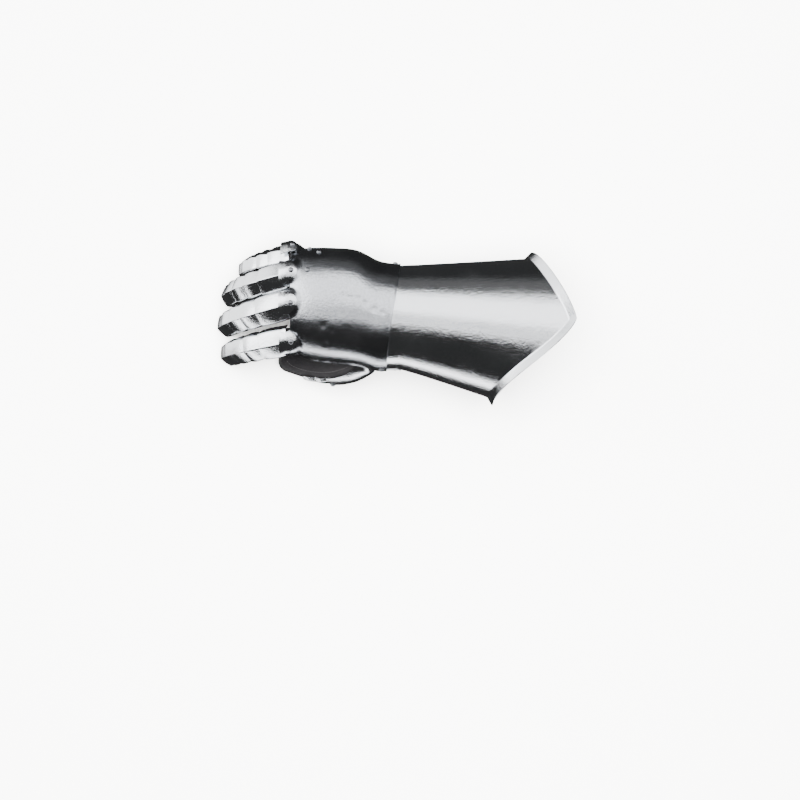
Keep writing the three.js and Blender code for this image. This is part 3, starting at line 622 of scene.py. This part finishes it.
def bezier(controls, t):
    t = np.asarray(t)[..., None]
    a, b, c, d = controls
    place = a * (1 - t) ** 3 + 3 * b * t * (1 - t) ** 2 + 3 * c * t * t * (1 - t) + d * t ** 3
    slope = 3 * (b - a) * (1 - t) ** 2 + 6 * (c - b) * t * (1 - t) + 3 * (d - c) * t * t
    return place, unit(slope)


def addCurve(limb):
    t = np.linspace(0, 1, 401)
    steps = np.linalg.norm(np.diff(bezier(limb["controls"], t)[0], axis=0), axis=1)
    limb["t"], limb["run"] = t, np.concatenate([[0], np.cumsum(steps)])
    limb["length"] = limb["run"][-1]
    return limb


def crossFrame(limb, distance):
    inside = np.clip(distance, 0, limb["length"])
    centre, tangent = bezier(limb["controls"], np.interp(inside, limb["run"], limb["t"]))
    centre = centre + tangent * (distance - inside)[..., None]
    first = bezier(limb["controls"], 0.0)[1]
    side = np.cross(first, [0, 0, 1])
    side = unit(side - tangent * dot(side, tangent)[..., None])
    outward = unit(np.cross(side, tangent))
    cosine, sine = math.cos(math.radians(limb["roll"])), math.sin(math.radians(limb["roll"]))
    return centre, tangent, outward * cosine + side * sine, side * cosine - outward * sine


def breadthAt(limb, distance):
    share = np.clip(np.asarray(distance) / limb["length"], 0, 1)
    return mix(limb["rootBreadth"], limb["tipBreadth"], share)[:, None]


def radiusAt(limb, distance):
    return mix(limb["root"], limb["tip"], np.clip(distance / limb["length"], 0, 1))


def ringGrid(limb, distance, radius, angle):
    centre, _, outward, side = crossFrame(limb, distance)
    turn = np.radians(angle)
    direction = outward[:, None] * np.cos(turn)[..., None] + side[:, None] * np.sin(turn)[..., None]
    return centre[:, None] + direction * np.asarray(radius)[..., None], direction


def sectionShape(breadth, angle):
    # how much further than a circle the section of a finger plate reaches, with flats and soft ridges
    form = lameForm
    turn = np.radians(angle)
    oval = 1 / np.sqrt((np.sin(turn) / breadth) ** 2 + np.cos(turn) ** 2)
    half = math.pi / form["flats"]
    off = np.abs((turn - math.radians(form["flatTurn"])) % (2 * half) - half)
    flat = np.cos(half) / np.cos(half - off)
    return oval * mix(1, np.minimum(flat, 0.995), form["flatShare"])


def fingerLimb(finger, axis):
    end = np.array([*finger["rest"], finger["tip"]], float)
    reach = np.linalg.norm(end - axis["start"]) * lameForm["curlReach"]
    turn = math.radians(lameForm["endAngle"])
    flat = unit(axis["direction"] * [1, 1, 0])
    endDirection = flat * math.cos(turn) - np.array([0, 0, math.sin(turn)])
    return addCurve({
        "controls": [
            axis["start"], axis["start"] + axis["direction"] * reach, end - endDirection * reach, end,
        ],
        "roll": finger["roll"], "root": finger["root"], "tip": finger["tip"],
        "overlap": lameForm["overlap"], "wrap": lameForm["wrap"],
        "rootBreadth": lameForm["rootBreadth"], "tipBreadth": lameForm["tipBreadth"],
    })


def buildLame(name, limb, start, end, tucked, node):
    form = lameForm
    lap = limb["overlap"]
    distance = np.concatenate([np.linspace(start - lap, start, 4), np.linspace(start, end - lap, 6)[1:],
                               np.linspace(end - lap, end, 8)[1:]])
    sunk = np.interp(distance, [start - lap, start, end - lap, end], [tucked, tucked, 0, 0])
    # the sheet is raised a little along its middle, and its free corners are filed off
    middle = np.sin(math.pi * np.clip((distance - start) / (end - start), 0, 1)) * form["crown"]
    corner = form["cornerRound"] * (np.clip((distance - end + 2.6) / 2.6, 0, 1) ** 3)
    across = np.linspace(-1, 1, form["columns"] + 1)[None, :]
    angle = across * (limb["wrap"] - corner)[:, None]
    shape = sectionShape(breadthAt(limb, distance), angle)
    radius = (radiusAt(limb, distance) - sunk + middle)[:, None] * shape
    points, normals = ringGrid(limb, distance, radius, angle)
    addSheet(name, points, normals, stock["lameWall"], [node])


def buildCap(name, limb, start, node):
    form = lameForm
    across = np.linspace(-1, 1, form["columns"] + 1)[None, :]
    distance = np.concatenate([np.linspace(start - limb["overlap"], start, 4),
                               np.linspace(start, limb["length"], 6)[1:-1]])
    tucked = stock["lameWall"] + stock["fitGap"]
    radius = np.interp(distance, [start, limb["length"]], [radiusAt(limb, start) - tucked, limb["tip"]])
    angle = across * np.full(len(distance), limb["wrap"])[:, None]
    shape = sectionShape(breadthAt(limb, distance), angle)
    points, normals = ringGrid(limb, distance, radius[:, None] * shape, angle)
    centre, tangent, outward, side = crossFrame(limb, np.array([limb["length"]]))
    bend = np.radians(np.linspace(0, 89.5, 16))[:, None]
    turn = np.radians(across * limb["wrap"])
    direction = outward * np.cos(turn)[..., None] + side * np.sin(turn)[..., None]
    dome = direction * np.cos(bend)[..., None] + tangent * np.sin(bend)[..., None]
    shape = mix(sectionShape(breadthAt(limb, [limb["length"]]), across * limb["wrap"]), 1, np.sin(bend))
    points = np.concatenate([points, centre + dome * (limb["tip"] * shape)[..., None]])
    addSheet(name, points, np.concatenate([normals, dome]), stock["lameWall"], [node])


limbs = {name: fingerLimb(finger, knuckleAxes[name]) for name, finger in fingerForms.items()}
for fingerName, limb in limbs.items():
    buildTongue(fingerName, fingerForms[fingerName], knuckleAxes[fingerName])
    starts = [lameForm["start"] + lameForm["overlap"]]
    starts += [share * limb["length"] for share in lameForm["ends"]]
    for number in range(4):
        sink = 2 * stock["fitGap"] if number == 0 else stock["fitGap"] + stock["lameWall"]
        buildLame(f"{fingerName}_lame_sheet_{number + 1}", limb, starts[number], starts[number + 1], sink,
                  f"{fingerName}_lame_{number + 1}")
    buildCap(fingerName + "_cap_sheet", limb, starts[4], fingerName + "_tip")
print("fingers built")


# Thumb: a base plate hung from the side of the wrist, and two lames

thumbForm = {
    "root": 15, "tip": 11.5, "reach": 112, "spread": 47, "rootHeight": 65, "wrap": 72, "outwardTurn": 62,
    # along the reach, to the side over the spread, and height over the root's or the tip's
    "rootReach": 0.21, "rootSide": 0.31, "bends": [(0.36, 1.16, 0.86), (0.72, 0.98, 1.3)], "tipSide": 0.74,
    "tabAngle": 17, "tabCentre": -107, "tabEnd": 4, "tabReach": 1.5, "baseShares": [0.3, 0.55, 0.78],
    # the tab's end is cut round: how far each row stands back from it, and its share of the full angle
    "tabRound": [(0.2, 0.5), (1.0, 0.8)], "rowSteps": 6, "plateEnds": [0.52, 0.66, 0.79], "overlap": 4.5,
}


def thumbLimb():
    form = thumbForm
    reach, spread = form["reach"], form["spread"]
    rootSide = cuffForm["wristOffset"] - cuffForm["wristWidth"] * form["rootSide"]
    first, second = form["bends"]
    return addCurve({
        "controls": [
            np.array([-reach * form["rootReach"], rootSide, form["rootHeight"]]),
            np.array([-reach * first[0], -spread * first[1], form["rootHeight"] * first[2]]),
            np.array([-reach * second[0], -spread * second[1], form["tip"] * second[2]]),
            np.array([-reach, -spread * form["tipSide"], form["tip"] - stock["leatherWall"] / 2]),
        ],
        "roll": -form["outwardTurn"], "root": form["root"],
        "tip": form["tip"] + 2 * stock["lameWall"] + stock["fitGap"] + stock["leatherGap"],
        "overlap": form["overlap"], "wrap": form["wrap"], "rootBreadth": 1.0, "tipBreadth": 1.0,
    })


def smoothRows(rows, steps):
    # more rows between the given ones, along a curve through them
    padded = np.concatenate([[2 * rows[0] - rows[1]], rows, [2 * rows[-1] - rows[-2]]])
    out = []
    for index in range(1, len(padded) - 2):
        p0, p1, p2, p3 = padded[index - 1:index + 3]
        for step in range(steps):
            t = step / steps
            out.append(0.5 * (2 * p1 + (p2 - p0) * t + (2 * p0 - 5 * p1 + 4 * p2 - p3) * t * t
                              + (3 * p1 - p0 - 3 * p2 + p3) * t ** 3))
    return np.stack(out + [rows[-1]])


def buildThumb(limb):
    form = thumbForm
    across = np.linspace(-1, 1, lameForm["columns"] + 1)[None, :]
    tab = [(form["tabEnd"] - back, share) for back, share in form["tabRound"]]
    tab += [(0.0, 1.0), (-cuffForm["tuck"] - form["tabReach"], 1.0)]
    x = np.array([row[0] for row in tab])[:, None] + 0 * across
    angle = form["tabCentre"] + across * form["tabAngle"] * np.array([row[1] for row in tab])[:, None]
    tabRows, _ = spots(cuffSurface, x, angle, stock["fitGap"] + stock["lameWall"])
    end = limb["length"] * form["plateEnds"][0]
    distance = np.array([share * end for share in form["baseShares"]] + [end - limb["overlap"], end])
    armAngle = across * np.full(len(distance), limb["wrap"])[:, None]
    armRows, _ = ringGrid(limb, distance, radiusAt(limb, distance)[:, None] + 0 * across, armAngle)
    points = smoothRows(np.concatenate([tabRows, armRows]), form["rowSteps"])
    normals = unit(np.cross(np.gradient(points, axis=1), np.gradient(points, axis=0)))
    addSheet("thumb_base_sheet", points, normals, stock["lameWall"], ["thumb_base_plate"])
    ends = [share * limb["length"] for share in form["plateEnds"]]
    for number in (1, 2):
        buildLame(f"thumb_lame_sheet_{number}", limb, ends[number - 1], ends[number],
                  stock["fitGap"] + stock["lameWall"], f"thumb_lame_{number}")


thumb = thumbLimb()
buildThumb(thumb)
print("thumb built")


# Glove: a palm, four finger stalls and a thumb stall of black leather, sewn together and open at the wrist

gloveForm = {
    "cuffReach": 22, "palmGap": 2.2, "palmFront": 4, "stallSetback": 6, "palmDepthShare": 0.5,
    "columns": 72, "stitch": 3.2, "stitchReach": 2.1, "threadRadius": 0.35, "crease": 0.35,
    "frontBulge": 2.2, "closingTurns": (0.5, 1.0, 1.35, 1.55),  # how the palm's front end closes, in radians
}


def addLeather(name, points, nodes):
    rows, columns = points.shape[:2]
    middle = points.mean(axis=1)
    along = middle[rows // 2 + 1] - middle[rows // 2]
    around = np.cross(points[rows // 2, 0] - middle[rows // 2], points[rows // 2, 1] - middle[rows // 2])
    flipped = np.dot(around, along) < 0
    faces = gridFaces(rows, columns, True, flipped)
    return addPiece(name, points, faces, leather, nodes, stock["leatherWall"], 0.5)


def palmRing(section, x, inset, angle):
    above = np.cos(np.radians(angle)) >= 0
    depth = np.where(above, section["halfDepth"], section["halfDepth"] * gloveForm["palmDepthShare"])
    shrunk = dict(section, halfWidth=section["halfWidth"] - inset, halfDepth=depth - inset)
    return sectionPoint(shrunk, x, angle)


def buildPalm():
    form = gloveForm
    angle = np.linspace(0, 360, form["columns"], endpoint=False)
    inset = stock["plateWall"] + form["palmGap"]
    tuck, front = -cuffForm["tuck"] - form["palmGap"], -handForm["length"] + form["palmFront"]
    rings = []
    for x in np.linspace(form["cuffReach"], tuck, 12)[:-1]:
        section = cuffSection(np.minimum(x + 0 * angle, 0))
        rings.append(palmRing(section, x + 0 * angle, inset + stock["plateWall"], angle))
    for x in np.linspace(tuck, front, 26):
        rings.append(palmRing(handSection(x + 0 * angle), x + 0 * angle, inset, angle))
    rings = np.stack(rings)
    # the leather lies in soft folds towards the wrist
    fold = wave(rings, 24, 5) * 0.5 + wave(rings, 9, 6) * 0.25
    middle = rings.mean(axis=1, keepdims=True)
    rings = rings - unit(rings - middle) * (0.5 + fold)[..., None]
    last = rings[-1]
    centre = last.mean(axis=0)
    closing = []
    for turn in form["closingTurns"]:
        bulge = np.array([-form["frontBulge"] * math.sin(turn), 0, 0])
        closing.append(centre + (last - centre) * math.cos(turn) + bulge)
    return addLeather("glove_palm", np.concatenate([rings, np.stack(closing)]), ["glove"])


def stallGrid(limb, start, seed):
    form = gloveForm
    inset = 2 * stock["lameWall"] + stock["fitGap"] + stock["leatherGap"]
    angle = np.linspace(0, 360, form["columns"] // 2, endpoint=False)[None, :]
    distance = np.linspace(start, limb["length"], 60)
    radius = (radiusAt(limb, distance) - inset)[:, None] + 0 * angle
    points, normals = ringGrid(limb, distance, radius, angle + 0 * radius)
    centre, tangent, outward, side = crossFrame(limb, np.array([limb["length"]]))
    bend = np.radians(np.linspace(0, 88, 14)[1:])[:, None]
    turn = np.radians(angle)
    direction = outward * np.cos(turn)[..., None] + side * np.sin(turn)[..., None]
    dome = direction * np.cos(bend)[..., None] + tangent * np.sin(bend)[..., None]
    points = np.concatenate([points, centre + dome * (limb["tip"] - inset)])
    normals = np.concatenate([normals, dome])
    crease = wave(points, 7, seed) * 0.6 + wave(points, 3.6, seed + 1) * 0.4
    points = points + normals * ((crease - 0.8) * form["crease"])[..., None]
    points[..., 2] = np.maximum(points[..., 2], 0.05)
    return points


def addStitches(name, starts, ends):
    # each stitch is a short thread, sunk at both ends
    form = gloveForm
    vertices, faces, sides = [], [], 6
    for start, end in zip(starts, ends):
        run = end - start
        first = unit(np.cross(run, [0.3, 0.2, 0.9]))
        second = unit(np.cross(run, first))
        base = len(vertices)
        for share, size in ((0.0, 0.3), (0.2, 0.9), (0.5, 1.0), (0.8, 0.9), (1.0, 0.3)):
            for side in range(sides):
                turn = 2 * math.pi * side / sides
                offset = first * math.cos(turn) + second * math.sin(turn)
                vertices.append(start + run * share + offset * form["threadRadius"] * size)
        faces += gridFaces(5, sides, True, False, base)
        faces.append(tuple(range(base + sides - 1, base - 1, -1)))
        faces.append(tuple(range(base + 4 * sides, base + 5 * sides)))
    return addPiece(name, np.array(vertices), faces, thread, [])


def seamStitches(limb, angle, start, end):
    inset = 2 * stock["lameWall"] + stock["fitGap"] + stock["leatherGap"]
    distance = np.arange(start, end, gloveForm["stitch"])
    turn = np.full((len(distance), 1), angle)
    ends = []
    for place in (distance, distance + gloveForm["stitchReach"]):
        ends.append(ringGrid(limb, place, (radiusAt(limb, place) - inset)[:, None], turn)[0][:, 0])
    return ends


def buildGlove():
    buildPalm()
    starts, ends = [], []
    for seed, (name, limb) in enumerate(limbs.items()):
        addLeather("glove_" + name, stallGrid(limb, -gloveForm["stallSetback"], 20 + 2 * seed), [])
        for angle in (112, -112):
            first, second = seamStitches(limb, angle, 8, limb["length"] - 2)
            starts.append(first)
            ends.append(second)
    addLeather("glove_thumb", stallGrid(thumb, -gloveForm["stallSetback"], 40), [])
    for angle in (100, -100):
        first, second = seamStitches(thumb, angle, 30, thumb["length"] - 2)
        starts.append(first)
        ends.append(second)
    starts, ends = np.concatenate(starts), np.concatenate(ends)
    keep = (starts[:, 2] > 0.6) & (ends[:, 2] > 0.6)
    addStitches("glove_stitches", starts[keep], ends[keep])


buildGlove()
print("glove built")


# Rivets: domed heads outside, flat tails inside

rivetForm = {
    "headRadius": 2.6, "headHeight": 1.5, "shankRadius": 1.3, "tailRadius": 2.1, "tailHeight": 0.6,
    "rimHeight": 0.35, "clearance": 0.45, "tailSlack": 1.5, "knuckleTailSlack": 1.0, "wristTailSlack": 2.8,
    "knuckleX": -104, "wristInset": 5, "tabX": -2, "thumbAngles": [-34, 34], "sides": 28,
    "hand": {"ring_rear_rivet": (16, 31), "little_rear_rivet_1": (17, 66), "little_rear_rivet_2": (27, 57)},
    "wrist": {"wrist_rivet_little_side": 84, "wrist_rivet_thumb_side": -82},
}


def addRivet(node, point, normal, stack, slack):
    form = rivetForm
    bottom = -stack - slack
    rim = form["rimHeight"]
    dome = form["headHeight"] + form["clearance"] - rim
    head = [(form["headRadius"] * math.cos(turn), rim + dome * math.sin(turn))
            for turn in np.linspace(0, math.pi / 2, 9)]
    profile = [(0, bottom - form["tailHeight"]), (form["tailRadius"] * 0.85, bottom - form["tailHeight"]),
               (form["tailRadius"], bottom - form["tailHeight"] * 0.7), (form["tailRadius"], bottom),
               (form["shankRadius"], bottom), (form["shankRadius"], 0.05),
               (form["headRadius"] * 0.97, 0.05)] + head
    first = unit(np.cross(normal, [1, 0.2, 0.1]))
    second = np.cross(normal, first)
    turn = np.linspace(0, 2 * math.pi, form["sides"], endpoint=False)
    ring = first[None] * np.cos(turn)[:, None] + second[None] * np.sin(turn)[:, None]
    points = np.stack([point + ring * radius + normal * height for radius, height in profile])
    faces = gridFaces(len(profile), form["sides"], True, False)
    piece = addPiece(node + "_peened", points, faces, rivetSteel, [node])
    piece.data.set_sharp_from_angle(angle=math.radians(40))


def buildRivets():
    form = rivetForm
    lap = stock["fitGap"] + stock["lameWall"]
    lift = lameForm["tongueGap"] + stock["lameWall"]
    for name, finger in fingerForms.items():
        x = np.float64(form["knuckleX"])
        angle = angleBeside(finger, knuckleAxes[name], x, np.float64(0))
        point, normal = spots(handSurface, x, angle, lift)
        addRivet(name + "_rivet", point, normal, lift + stock["plateWall"], form["knuckleTailSlack"])
    for name, (setback, angle) in form["hand"].items():
        point, normal = spots(handSurface, np.float64(-handForm["length"] + setback), np.float64(angle))
        addRivet(name, point, normal, stock["plateWall"], form["tailSlack"])
    for name, angle in form["wrist"].items():
        back = handForm["seamMiddle"] + handForm["seamSlant"] * math.sin(math.radians(angle))
        point, normal = spots(handSurface, np.float64(back - form["wristInset"]), np.float64(angle))
        addRivet(name, point, normal, 2 * stock["plateWall"] + stock["fitGap"], form["wristTailSlack"])
    point, normal = spots(cuffSurface, np.float64(form["tabX"]), np.float64(thumbForm["tabCentre"]), lap)
    addRivet("thumb_tab_rivet", point, normal, lap + stock["plateWall"], form["tailSlack"])
    distance = np.array([thumbForm["plateEnds"][0] * thumb["length"] - thumbForm["overlap"] / 2])
    thumbStack = lap + stock["lameWall"] + stock["leatherGap"] + stock["leatherWall"]
    for number, angle in enumerate(form["thumbAngles"]):
        points, normals = ringGrid(thumb, distance, radiusAt(thumb, distance)[:, None], np.array([[angle]]))
        addRivet(f"thumb_rivet_{number + 1}", points[0, 0], normals[0, 0], thumbStack, form["tailSlack"])


buildRivets()
print("rivets built")


# Studio: a pale table, one broad soft lamp overhead, and a room of pale and dark panels for the steel
# to mirror

studio = {
    "table": "#fafaf8", "tableSize": 6.0, "tableDrop": 0.2,
    "lampSize": 2.2, "lampHeight": 2.4, "lampPower": 620,
    "roomStrength": 9.0, "frontPanelStart": 0.4, "frontPanelFull": 0.75, "frontPanel": 0.4,
    "frontPanelEdge": 0.12, "frontPanelDim": 0.0,
    # round the hand the room is dark but for four panels: where each starts and ends, in degrees from
    # the zenith and positive to the little finger's side, how bright it is and how many degrees its
    # soft edges take
    "dark": 0.005,
    "panels": {
        "low board on the thumb's side": (-107, -96, 0.65, 9),
        "strip overhead": (-4, 4, 0.33, 4),
        "broad board on the little finger's side": (14, 50, 0.5, 5),
        "dim grey wall": (60, 82, 0.02, 4),
    },
}
camera = {"target": (9.8, -77.2), "height": 1670, "lens": 72}


def buildStudio():
    tableMaterial, tree, place = newMaterial("pale matt laminate")
    speck = addNode(tree, "ShaderNodeTexNoise", {"Scale": 60.0, "Detail": 2.0}, {"Vector": place})
    bump = addNode(tree, "ShaderNodeBump", {"Strength": 0.03, "Distance": 0.1 * mm},
                   {"Height": speck.outputs["Fac"]})
    shader = addNode(tree, "ShaderNodeBsdfPrincipled", {
        "Base Color": linear(studio["table"]), "Roughness": 0.9, "Specular IOR Level": 0.1,
    }, {"Normal": bump.outputs["Normal"]})
    finishMaterial(tree, shader)
    half, below = studio["tableSize"] / 2, -studio["tableDrop"] * mm
    mesh = bpy.data.meshes.new("table")
    corners = [(x, y, below) for x, y in ((-half, -half), (half, -half), (half, half), (-half, half))]
    mesh.from_pydata(corners, [], [(0, 1, 2, 3)])
    mesh.materials.append(tableMaterial)
    table = bpy.data.objects.new("table", mesh)
    bpy.context.scene.collection.objects.link(table)
    table.visible_glossy = False  # the steel mirrors the room's panels instead

    lamp = bpy.data.lights.new("soft lamp", "AREA")
    lamp.shape, lamp.size, lamp.energy = "DISK", studio["lampSize"], studio["lampPower"]
    lampObject = bpy.data.objects.new("soft lamp", lamp)
    lampObject.location = (0, 0, studio["lampHeight"])
    lampObject.visible_glossy = False
    bpy.context.scene.collection.objects.link(lampObject)

    world = bpy.data.worlds.new("studio room")
    bpy.context.scene.world = world
    world.use_nodes = True
    tree = world.node_tree
    tree.nodes.clear()
    outlook = addNode(tree, "ShaderNodeTexCoord").outputs["Generated"]
    direction = addNode(tree, "ShaderNodeSeparateXYZ", links={"Vector": outlook})
    angle = addNode(tree, "ShaderNodeMath", {"operation": "ARCTAN2"})
    tree.links.new(direction.outputs["Y"], angle.inputs[0])
    tree.links.new(direction.outputs["Z"], angle.inputs[1])
    place = addNode(tree, "ShaderNodeMapRange", {"From Min": -math.pi, "From Max": math.pi},
                    {"Value": angle.outputs[0]})
    ramp = addNode(tree, "ShaderNodeValToRGB", links={"Fac": place.outputs["Result"]})
    dark = studio["dark"]
    levels = [(-180, dark)]
    for start, end, level, edge in studio["panels"].values():
        levels += [(start - edge, dark), (start, level), (end, level), (end + edge, dark)]
    levels.append((180, dark))
    stops = ramp.color_ramp.elements
    for degrees, level in levels[1:-1]:
        stops.new((degrees + 180) / 360)
    for stop, (degrees, level) in zip(stops, levels):
        stop.position = (degrees + 180) / 360
        stop.color = (level, level, level * 1.01, 1)
    # a pale panel stands beyond the fingertips
    beyond = addNode(tree, "ShaderNodeMapRange", {
        "From Min": -studio["frontPanelStart"], "From Max": -studio["frontPanelFull"],
        "To Max": studio["frontPanel"], "interpolation_type": "SMOOTHSTEP",
    }, {"Value": direction.outputs["X"]})
    nearPanel = addNode(tree, "ShaderNodeMapRange", {
        "From Min": -studio["frontPanelEdge"], "From Max": studio["frontPanelEdge"],
        "To Min": studio["frontPanelDim"], "interpolation_type": "SMOOTHSTEP",
    }, {"Value": direction.outputs["Y"]})
    tree.links.new(beyond.outputs["Result"], nearPanel.inputs["To Max"])
    room = addNode(tree, "ShaderNodeMix", {"data_type": "RGBA", "blend_type": "ADD", "Factor": 1.0})
    tree.links.new(ramp.outputs["Color"], room.inputs[6])
    tree.links.new(nearPanel.outputs["Result"], room.inputs[7])
    background = addNode(tree, "ShaderNodeBackground", {"Strength": studio["roomStrength"]},
                         {"Color": room.outputs[2]})
    addNode(tree, "ShaderNodeOutputWorld", links={"Surface": background.outputs["Background"]})

    view = bpy.data.cameras.new("camera above")
    view.lens, view.clip_end = camera["lens"], 20
    viewer = bpy.data.objects.new("camera above", view)
    viewer.location = (camera["target"][0] * mm, camera["target"][1] * mm, camera["height"] * mm)
    bpy.context.scene.collection.objects.link(viewer)
    bpy.context.scene.camera = viewer


buildStudio()
print("studio built")

bpy.context.view_layer.update()
